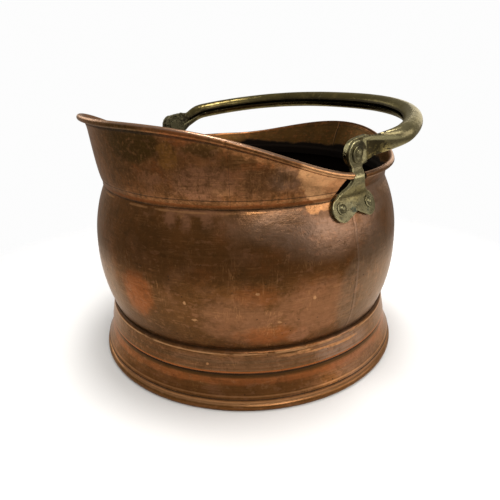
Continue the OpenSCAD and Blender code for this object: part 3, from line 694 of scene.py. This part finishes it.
ironLayers = [
    clouds(0.004, 0.4, 0.68, "grime", 0.7, 0.1),
    clouds(0.012, 0.5, 0.7, "brown", 0.3),
]

brassWear = [
    clouds(0.0016, 0.42, 0.75, "darkBrass", 0.4, 0.018),
    pits(0.003, 0.25, 0.2, "darkBrass", 0.8, -0.06),
    scratch((0.4, 0.2, 0.3), (500, 500, 30), 0.02, 0.52, "brightBrass", 0.25, -0.02),
]

castWear = [
    *brassWear,
    edges(0.46, 0.3, 0.25, "grime", 0.75),
    edges(0.6, 0.95, 0.5, "brightBrass", 0.3),
]

sootyEnd = [  # the far end of the handle is caked and rough
    patch((0.004, 0.136, 0.202), (0.02, 0.03, 0.017), 1, 0.005, 0.25, "grime", 0.88, 0.5),
    patch((0.004, 0.136, 0.202), (0.016, 0.03, 0.014), 4, 0.003, 0.2, "paleBrass", 0.5, -0.4),
]

bracketLayers = [
    clouds(0.016, 0.4, 0.66, "darkBrass", 0.5, 0.15),
    clouds(0.009, 0.54, 0.76, "goldBrass", 0.3, shift=(3, 2, 1)),
    clouds(0.007, 0.6, 0.72, "verdigris", 0.5, 0.03, shift=(1, 7, 1)),
    spot(-4, -139, 159.5, 2.8, 2.2, "verdigris", 0.7, 4.5, 1.8),
    spot(6, -139, 174, 6, 5, "darkBrass", 0.3, 2.5, 4, 0.4),
    spot(0, -141, 190, 9, 11, "satinBrass", 0.6, 1, 6, 0.5),
    spot(0, -138, 172, 20, 6, "goldBrass", 0.35, 1, 6, 0.5),
    spot(8, -139, 203, 4, 9, "goldBrass", 0.7, 1.5, 4),
    # painted highlight where the strap bends over the rim
    spot(0, -145, 184, 8, 3.4, "brightBrass", 0.5, 1.4, 3, 0.5),
    clouds(0.0026, 0.55, 0.63, "grime", 0.35, -0.03, shift=(5, 2, 8)),
    *castWear, *sootyEnd,
    spot(6, -139, 205, 6, 9, "grime", 0.85, 4.5, 6, 0.12),
    spot(7, -139, 199, 3, 6, "brightBrass", 0.5, 1.6, 4),
    # painted shade: a dark crescent beside the pin head
    spot(-6.5, -140, 198.5, 2.2, 5, "grime", 0.9, 0.8, 4),
]

handleLayers = [
    clouds(0.03, 0.42, 0.6, "darkBrass", 0.65, 0.06),
    clouds(0.012, 0.5, 0.7, "goldBrass", 0.35, shift=(3, 2, 1)),
    clouds(0.03, 0.25, 0.75, None, 0, 0.35, shift=(9, 1, 2)),
    clouds(0.006, 0.55, 0.75, "darkBrass", 0.4, 0.03, shift=(1, 7, 1)),
    # rougher and paler near arm; its paleness is painted soft light
    spot(58, -143, 212, 50, 16, "satinBrass", 0.85, 0.6, 20, 0.5),
    spot(116, -88, 221, 50, 22, "dullBrass", 0.8, 0.6, 30, 0.5),
    spot(22, -137, 201, 11, 8, "goldBrass", 0.7, 1.1, 6, 0.4),
    *brassWear, *sootyEnd,
    spot(20, -134, 206, 9, 9, "grime", 0.85, 6, 3.2, 0.15),
    spot(22, -136, 206, 5, 6, "darkBrass", 0.4, 2, 6),
    # painted highlights: bright lines along the lower lip and the top edge beside the flattened end
    spot(17, -136, 191.5, 6, 1.6, "brightBrass", 1, 0.5, 4, 0.4),
    spot(26, -137, 193.5, 7, 1.5, "brightBrass", 1, 0.5, 4, 0.4),
    spot(28, -136, 211, 16, 1.5, "brightBrass", 0.8, 0.4, 6, 0.5),
    # painted shade along the upper lip of the slit, and a painted highlight along its lower lip
    strip(0, 0.06, 0.6, "grime", 0.7),
    strip(1, 0.03, 0.6, "brightBrass", 0.5),
]

pinLayers = [
    clouds(0.004, 0.42, 0.62, "darkBrass", 0.75, 0.05),
    *castWear,
    edges(0.5, 0.42, 0.2, "grime", 0.95),
    # painted shade: a dark crescent on the pin head's left side
    spot(-5.5, -142, 199, 3, 6, "grime", 0.9, 0.8, 4),
    # painted highlight on the pin head's right side
    spot(3, -143, 204, 2.4, 3, "brightBrass", 0.5, 0.8, 3, 0.5),
    *sootyEnd,
]

endLayers = [
    clouds(0.008, 0.4, 0.64, "darkBrass", 0.5, 0.06),
    clouds(0.005, 0.52, 0.66, "goldBrass", 0.6, 0.03, shift=(3, 2, 1)),
    clouds(0.0032, 0.52, 0.57, "grime", 0.85, -0.05, shift=(6, 1, 4)),
    *castWear, *sootyEnd,
    # painted highlights on the rounded left edge of the flattened end and on the ridge where it stops
    spot(-9.5, -134, 204, 4.5, 12, "brightBrass", 0.95, 0.9, 4),
    spot(12.5, -134, 204, 3.5, 9, "brightBrass", 0.6, 1.6, 4),
]

copperHue, brassHue = (0.96, 0.82, 0.7), (0.95, 0.88, 0.68)
looks = {  # base paint, hue at grazing angles and layers
    "barrelCopper": ("brown", copperHue, barrelLayers),
    "footCopper": ("brown", copperHue, footLayers),
    "spoutCopper": ("red", copperHue, spoutLayers),
    "backCopper": ("brown", copperHue, backLayers),
    "wireCopper": ("brown", copperHue, wireLayers),
    "ironWire": ("rust", copperHue, ironLayers),
    "bracketBrass": ("paleBrass", brassHue, bracketLayers),
    "handleBrass": ("oldBrass", brassHue, handleLayers),
    "endBrass": ("paleBrass", brassHue, endLayers),
    "pinBrass": ("paleBrass", brassHue, pinLayers),
}
metals = {name: layeredMetal(name, *look) for name, look in looks.items()}
print("materials made:", len(bpy.data.materials))


barrel = {
    "bellyRadius": 146, "neckRadius": 133, "waistRadius": 135.5, "waistHeight": 51,
    "bellyHeight": 108, "neckHeight": 168, "collarTop": 172, "flangeBottom": 45.05, "bulge": 2.2,
    "sheet": 1.2, "fit": 0.05, "rings": 64, "steps": 256, "floorSteps": 128,
    "dents": 0.35,  # depth of the hand-made unevenness
    "dentSize": 62, "ripples": 0.4, "rippleSize": 21, "dentSeed": 1,
    "calmLow": 2,  # it starts this far above the waist and is full dentRise higher
    "dentRise": 14, "calmHigh": 4, "dentFall": 18,
}
neckRadius, neckHeight, collarTop = [barrel[key] for key in ("neckRadius", "neckHeight", "collarTop")]


def barrelRadius(height):
    if height <= barrel["bellyHeight"]:
        edge, low = barrel["waistRadius"], barrel["waistHeight"]
    else:
        edge, low = neckRadius, neckHeight
    share = min(1, abs(height - barrel["bellyHeight"]) / abs(low - barrel["bellyHeight"]))
    return barrel["bellyRadius"] - (barrel["bellyRadius"] - edge) * share ** barrel["bulge"]


def makeBarrel():
    sheet, bottom = barrel["sheet"], barrel["flangeBottom"]
    waist, rings = barrel["waistRadius"], barrel["rings"]
    heights = [mix(barrel["waistHeight"], neckHeight, i / rings) for i in range(rings + 1)]
    outerWall = [(barrelRadius(z), z) for z in heights]
    innerWall = []
    for z in reversed(heights):
        slope = barrelRadius(z + 0.5) - barrelRadius(z - 0.5)
        innerWall.append((barrelRadius(z) - sheet * hypot(1, slope), z))
    outerWall = [(waist, bottom), *outerWall, (neckRadius, collarTop)]
    innerWall = [(neckRadius - sheet, collarTop), *innerWall, (waist - sheet, bottom)]
    bm = lathe(outerWall + innerWall, barrel["steps"])
    dent(bm, barrel, barrel["waistHeight"], neckHeight)
    finishPiece(bm, "copperBarrel", "body", "barrelCopper")


def makeFloorPlate():
    sheet, top, bottom = barrel["sheet"], barrel["waistHeight"], barrel["flangeBottom"]
    radius = barrel["waistRadius"] - sheet - barrel["fit"]
    profile = [(0, top)]
    for angle in range(0, 91, 18):  # the flange is turned down with a round bend
        a = radians(angle)
        profile.append((radius - sheet + sheet * sin(a), top - sheet + sheet * cos(a)))
    profile += [(radius, bottom), (radius - sheet, bottom), (radius - sheet, top - sheet), (0, top - sheet)]
    bm = lathe(profile, barrel["floorSteps"])
    finishPiece(bm, "floorPlate", "body_floor", "barrelCopper")


makeBarrel()
makeFloorPlate()
print("barrel and floor made")


foot = {
    "outerRadius": 150, "bandRadius": 141.5,
    "bandHeight": 32.5,  # sharp lower edge of the band
    "bandCorner": (0.3, 0.35), "undercut": 2, "undercutSlope": 0.55,
    "skirtTop": (0.9, 1),  # out and down from the undercut
    "skirtFoot": (1.8, 3.6),  # out and up from the rolled edge
    "skirtHollow": 0.7, "skirtEnd": (0.8, 1.2), "skirtRings": 16, "shoulder": 3, "wire": 4.8,
    "sheet": 1.2, "fit": 0.05, "wornFlat": 0.3, "steps": 256,
    "roll": (70, -250),  # degrees
    "rollSteps": 28, "shoulderSteps": 10, "dents": 0.3, "dentSize": 55, "ripples": 0.4,
    "rippleSize": 17, "dentSeed": 4, "calmLow": 0.2, "dentRise": 4, "calmHigh": 3, "dentFall": 8,
}


def makeFoot():
    sheet, fit, waist, top = foot["sheet"], foot["fit"], barrel["waistRadius"], barrel["waistHeight"]
    bead = foot["wire"] / 2 + sheet + 2 * fit
    beadMid, beadHeight = foot["outerRadius"] - bead, bead - foot["wornFlat"]
    edge, edgeHeight = foot["bandRadius"], foot["bandHeight"]
    cut, shoulder = foot["undercut"], foot["shoulder"]
    turns = [radians(90 * i / foot["shoulderSteps"]) for i in range(foot["shoulderSteps"] + 1)]
    outline = [(waist + fit + shoulder * sin(a), top - shoulder * (1 - cos(a))) for a in turns]
    start, startHeight = outline[-1]
    outline += [(mix(start, edge, t), mix(startHeight, edgeHeight, t)) for t in (0.25, 0.5, 0.75, 0.97)]
    outline += [(edge, edgeHeight), (edge - foot["bandCorner"][0], edgeHeight - foot["bandCorner"][1])]
    outline += [(edge - cut, edgeHeight - foot["undercutSlope"] * cut)]
    high, highHeight = edge - cut + foot["skirtTop"][0], edgeHeight - cut - foot["skirtTop"][1]
    low, lowHeight = beadMid + foot["skirtFoot"][0], beadHeight + bead + foot["skirtFoot"][1]
    for i in range(foot["skirtRings"] + 1):
        t = i / foot["skirtRings"]
        hollow = foot["skirtHollow"] * sin(pi * t)
        outline.append((mix(high, low, t) - hollow, mix(highHeight, lowHeight, t)))
    outline.append((low - foot["skirtEnd"][0], lowHeight - foot["skirtEnd"][1]))
    innerWall = [(max(r - sheet, waist + fit), min(z, top - sheet)) for r, z in reversed(outline)]
    roll = []
    for i in range(foot["rollSteps"] + 1):
        a = radians(mix(*foot["roll"], i / foot["rollSteps"]))
        roll.append((beadMid + bead * cos(a), max(0, beadHeight + bead * sin(a))))
    bm = lathe(outline + roll + innerWall, foot["steps"])
    dent(bm, foot, 0, top)
    finishPiece(bm, "footRing", "foot_ring", "footCopper", sharp=30)
    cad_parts["foot_rim_wire"].data.materials.clear()
    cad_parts["foot_rim_wire"].data.materials.append(metals["ironWire"])


makeFoot()
print("foot made")


rim = {
    "sheet": 1.2, "fit": 0.05,
    "rounding": 0.14,  # of the cut edges
    "wire": 1.25,  # radius of the wire
    "wireTaper": 400,  # how fast its ends swell from a share of its thickness
    "wireTip": 0.35, "wireColumns": 260, "wireSides": 12,
    "roll": 1.4,  # inside radius of the rolled edge
    "rollEnd": -80,
    "wallShare": 0.68,  # share of the sheet's rows that the wall takes
    "gapLow": 10.6,  # degrees from the bracket where the sheets end, at the neck
    "gapTop": 4.6,  # and at the rim
    "gapPower": 0.75,  # below 1, the ends are rounded
    "step": 0.02,  # between the lapped rows and the rest of the wall
    "wireEnd": 1.2, "columnsPerDegree": 1.6, "unevenness": 0.45, "unevenSize": 38,
    "unevenRadius": 140, "unevenRise": 16,
}

spout = {
    "rise": 60, "sideRise": 19, "curve": 1.7, "lean": 8, "leanPower": 0.65, "lip": 3.9,
    "tipLip": 2.2, "lipHeight": 11, "jointAngle": 47, "jointGap": 0.02, "wingLift": 0.6,
    "unevenSeed": 6, "rows": 40,
}

back = {
    "rise": 32, "sideRise": 16, "spread": 56, "lean": 9.6, "leanPower": 1.3, "footDrop": 4,
    "lapShare": 0.2,  # share of the wall's rows that lies inside the neck
    "rows": 50,
    "meetAngle": 0.03,  # where the halves meet
    "lapAngle": 1.6,  # half width of the lapped seam at the middle
    "lapTop": 0.8,  # share of the wall's height where the lap starts to narrow
    "lapSink": 0.1,  # the lapped half lies a sheet and this much further in
    "sinkTop": 0.75, "lapFade": 0.15, "sinkFade": 0.45, "unevenSeed": 8, "gapTop": 3.6, "wireEnd": 0.5,
}


def spoutRim(angle):
    share = (1 + cos(pi * min(1, abs(angle) / 90) ** spout["curve"])) / 2
    return neckHeight + mix(spout["sideRise"], spout["rise"], share)


def backRim(angle):
    share = (1 + cos(pi * min(1, abs(angle) / back["spread"]))) / 2
    return neckHeight + mix(back["sideRise"], back["rise"], share)


def unevenAt(angle, height, seed):
    calm = smooth((height - collarTop) / rim["unevenRise"])
    where = polar(rim["unevenRadius"], angle, height)
    return rim["unevenness"] * calm * wander(where, rim["unevenSize"], seed)


def leanAt(piece, above):  # how far a wall has gone outwards at this height above the collar
    highest = neckHeight + piece["rise"] - collarTop
    return piece["lean"] * (above / highest) ** piece["leanPower"]


def spoutWall(height, rimHeight, angle):
    above = max(0, height - collarTop)
    raised = (rimHeight - neckHeight - spout["sideRise"]) / (spout["rise"] - spout["sideRise"])
    lip = mix(spout["lip"], spout["tipLip"], raised)
    lip *= max(0, 1 - (rimHeight - height) / spout["lipHeight"]) ** 2
    uneven = unevenAt(angle, height, spout["unevenSeed"])
    return neckRadius + rim["sheet"] + rim["fit"] + leanAt(spout, above) + lip + uneven


def backWall(height, angle):
    above = height - collarTop
    if above <= 0:
        return neckRadius - rim["sheet"] - rim["fit"]
    return neckRadius + leanAt(back, above) + unevenAt(angle, height, back["unevenSeed"])


def gapAngle(height, rimHeight, top):
    share = (height - neckHeight) / (rimHeight - neckHeight)
    return mix(rim["gapLow"], top, min(1, max(0, share)) ** rim["gapPower"])


def rolledPoint(v, low, rimHeight, wall, lapShare=0):  # radius and height at a share v of the width
    share = rim["wallShare"]
    if v < share:
        part = v / share
        if part < lapShare:
            height = mix(low, collarTop, part / lapShare)
        else:
            start = collarTop + rim["step"] if lapShare else low
            height = mix(start, rimHeight, (part - lapShare) / (1 - lapShare))
        return wall(height), height
    turn = radians(mix(180, rim["rollEnd"], (v - share) / (1 - share)))
    middle = wall(rimHeight) + rim["roll"]
    return middle + rim["roll"] * cos(turn), rimHeight + rim["roll"] * sin(turn)


def finishSheet(name, node, metal, degrees, rows, place):
    bm = formedSheet(int(degrees * rim["columnsPerDegree"]), rows, place)
    faceOut(bm, lambda centre: Vector((centre.x, centre.y, 0)))
    finishPiece(bm, name, node, metal, sheet=rim["sheet"], rounding=rim["rounding"])


def makeSpoutSheet(name, node, start, end, sense, lift):
    low = neckHeight + lift

    def place(u, v):
        guess = mix(start, end, u)
        rimHeight = spoutRim(guess)
        radius, height = rolledPoint(v, low, rimHeight, lambda z: spoutWall(z, rimHeight, sense * guess))
        if end > spout["jointAngle"]:  # a side sheet, which ends in a slant beside the bracket
            guess = mix(start, 90 - gapAngle(height, rimHeight, rim["gapTop"]), u)
        return polar(radius, 180 + sense * guess, height)

    finishSheet(name, node, "spoutCopper", abs(end - start), spout["rows"], place)


def makeBackSheet(name, node, sense):
    low, end = neckHeight - back["footDrop"], 90 - back["gapTop"]

    def place(u, v):
        share = v / rim["wallShare"]
        start, inset = back["meetAngle"], 0
        if sense < 0:  # the left half laps inside the right one, up to the rolled rim
            narrow = smooth((share - back["lapTop"]) / back["lapFade"])
            start = mix(-back["lapAngle"], back["meetAngle"], narrow)
            sunk = 1 - smooth((share - back["sinkTop"]) / back["lapFade"])
            inset = (rim["sheet"] + back["lapSink"]) * sunk
        guess = mix(start, end, u)
        rimHeight = backRim(guess)
        inset *= 1 - smooth((guess + back["meetAngle"]) / back["sinkFade"])
        radius, height = rolledPoint(v, low, rimHeight, lambda z: backWall(z, sense * guess),
                                     back["lapShare"])
        angle = mix(start, 90 - gapAngle(height, rimHeight, back["gapTop"]), u)
        return polar(radius - inset, sense * angle, height)

    finishSheet(name, node, "backCopper", end, back["rows"], place)


def makeRimWire(name, node, turn, end, rimHeightAt, rimRadiusAt):

    def place(u, v):
        angle = mix(-end, end, u)
        around = 2 * pi * v
        height, radius = rimHeightAt(angle), rimRadiusAt(angle) + rim["roll"]
        thick = rim["wire"] * min(1, sqrt(min(u, 1 - u) * rim["wireTaper"] + rim["wireTip"]))
        return polar(radius + thick * cos(around), turn + angle, height + thick * sin(around))

    bm = formedRod(rim["wireColumns"], rim["wireSides"], place)
    finishPiece(bm, name, node, "wireCopper")


joint, jointGap, wingEnd = spout["jointAngle"], spout["jointGap"], 90 - rim["gapTop"]
makeSpoutSheet("spoutPanel", "spout_panel", jointGap - joint, joint - jointGap, 1, 0)
makeSpoutSheet("leftSpoutWing", "left_spout_wing", joint, wingEnd, 1, spout["wingLift"])
makeSpoutSheet("rightSpoutWing", "right_spout_wing", joint, wingEnd, -1, spout["wingLift"])
makeBackSheet("leftBackPanel", "left_back_panel", -1)
makeBackSheet("rightBackPanel", "right_back_panel", 1)
makeRimWire("spoutRimWire", "spout_rim_wire", 180, wingEnd + rim["wireEnd"], spoutRim,
            lambda angle: spoutWall(spoutRim(angle), spoutRim(angle), angle))
makeRimWire("backRimWire", "back_rim_wire", 0, 90 - back["gapTop"] + back["wireEnd"], backRim,
            lambda angle: backWall(backRim(angle), angle))
print("spout, back and rim wires made")


castings = [  # node, piece, metal, size of its faces, rounds of smoothing, lumps on the left and right
    ("_bracket", "Bracket", "bracketBrass", 0.42, 3, (0.1, 0.35)),
    ("_bracket_rivets", "BracketRivets", "bracketBrass", 0.3, 2, (0.06, 0.06)),
    ("_pivot_pin", "PivotPin", "pinBrass", 0.25, 2, (0.06, 0.06)),
    ("_pin_washer", "PinWasher", "bracketBrass", 0.22, 2, (0.04, 0.04)),
]
for side, name in enumerate(("left", "right")):
    for node, piece, metal, voxel, rounds, lumps in castings:
        castCopy(name + node, name + piece, metal, voxel, rounds, lumps[side])
print("brackets, rivets and pins made")


handle = {
    "width": 299, "reach": 142.5, "power": 2.3, "tube": 16, "wall": 1.4, "rounding": 0.3,
    "seam": 3.4, "seamUneven": 0.25, "tubeUneven": 0.006, "rise": 4.2, "pivotHeight": 201.5,
    "foldAngle": 8.2, "tongueMid": 131.9, "tongueHeight": 22, "tongueThick": 3.8, "tongueShift": 2,
    "tongueLength": 15, "tongueSides": 72, "tongueFaces": 0.32, "tongueRounds": 4,
    "tongueLumps": {-1: 0.12, 1: 0.5}, "lap": 3, "narrowLength": 27, "swellLength": 56,
    "bore": 3.08, "archStart": 3.2,
    "dish": 2.8,  # depth of the hollow pressed beside each flattened end
    "dishMiddle": 22, "dishLength": 7.5,
    "ridge": 0.8,  # height of the ridge where a flattened end stops
    "ridgeMiddle": 14, "ridgeLength": 1.6, "columns": 340, "rows": 48,
}


def swell(x, length):
    start = handle["tongueLength"]
    return smooth((x - start + handle["lap"]) / (length - start))


def archPoint(turn):
    power = 2 / handle["power"]
    x = handle["reach"] * max(0, sin(turn)) ** power
    y = -copysign(handle["width"] / 2 * abs(cos(turn)) ** power, cos(turn))
    out = swell(x, handle["swellLength"])
    return Vector((x, mix(copysign(handle["tongueMid"], y), y, out), handle["rise"] * out))


def archTurn(place):  # where along the arch a place is
    power = handle["power"] / 2
    along, aside = max(0, place.x) / handle["reach"], abs(place.y) / (handle["width"] / 2)
    return atan2(along ** power, -copysign(aside ** power, place.y))


def hump(x, middle, length):
    return exp(-((x - middle) / length) ** 2)


def foldHandle(bm):
    fold = Matrix.Rotation(radians(-handle["foldAngle"]), 4, "Y")
    bmesh.ops.transform(bm, matrix=Matrix.Translation((0, 0, handle["pivotHeight"])) @ fold, verts=bm.verts)


def makeHandleTube():
    start = radians(handle["archStart"])
    thick, high, tube = handle["tongueThick"] / 2, handle["tongueHeight"] / 2, handle["tube"] / 2
    slit, step = asin(handle["seam"] / handle["tube"]), 0.006  # radians

    def place(u, v):
        turn = mix(start, pi - start, u)
        here = archPoint(turn)
        run = archPoint(turn + step) - archPoint(turn - step)
        out = Vector((run.y, -run.x, 0)).normalized()
        halfWide = mix(thick, tube, swell(here.x, handle["swellLength"]))
        halfHigh = mix(high, tube, swell(here.x, handle["narrowLength"]))
        gap = slit * (1 + handle["seamUneven"] * wander((here.x, here.y, 0), 30, 11))
        around = mix(pi - gap, gap - pi, v)
        uneven = 1 + handle["tubeUneven"] * wander(here, 24, 12)
        outer = max(0, cos(around))
        hollow = handle["dish"] * outer ** 2 * hump(here.x, handle["dishMiddle"], handle["dishLength"])
        ridge = handle["ridge"] * outer * hump(here.x, handle["ridgeMiddle"], handle["ridgeLength"])
        sideways = halfWide * uneven * cos(around) - hollow + ridge
        return here + out * sideways + Vector((0, 0, halfHigh * uneven * sin(around)))

    bm = formedSheet(handle["columns"], handle["rows"], place)
    faceOut(bm, lambda centre: centre - archPoint(archTurn(centre)))
    foldHandle(bm)
    finishPiece(bm, "handleTube", "handle", "handleBrass", "bail",
                sheet=handle["wall"], rounding=handle["rounding"])


def makeTongue(name, side):
    half, shift, length = handle["tongueHeight"] / 2, handle["tongueShift"], handle["tongueLength"]
    bm = bmesh.new()
    outer = bmesh.ops.create_circle(bm, segments=handle["tongueSides"], radius=half)["verts"]
    for vert in outer:
        if vert.co.x > 0:
            vert.co *= min((length - shift) / vert.co.x, half / max(abs(vert.co.y), 1e-6))
        vert.co.x += shift
    bmesh.ops.create_circle(bm, segments=handle["tongueSides"], radius=handle["bore"])
    bmesh.ops.bridge_loops(bm, edges=bm.edges[:])
    slab = bmesh.ops.extrude_face_region(bm, geom=bm.faces[:])
    lifted = [item for item in slab["geom"] if isinstance(item, bmesh.types.BMVert)]
    bmesh.ops.translate(bm, vec=(0, 0, handle["tongueThick"]), verts=lifted)
    bmesh.ops.recalc_face_normals(bm, faces=bm.faces)
    stand = Matrix.Translation((0, side * handle["tongueMid"] + handle["tongueThick"] / 2, 0))
    bmesh.ops.transform(bm, matrix=stand @ Matrix.Rotation(pi / 2, 4, "X"), verts=bm.verts)
    foldHandle(bm)
    bmesh.ops.scale(bm, vec=(millimetre,) * 3, verts=bm.verts)
    finishCast(bm, name, "handle", "endBrass", "bail",
               handle["tongueFaces"], handle["tongueRounds"], handle["tongueLumps"][side])


makeHandleTube()
makeTongue("leftHandleEnd", -1)
makeTongue("rightHandleEnd", 1)
print("handle made")
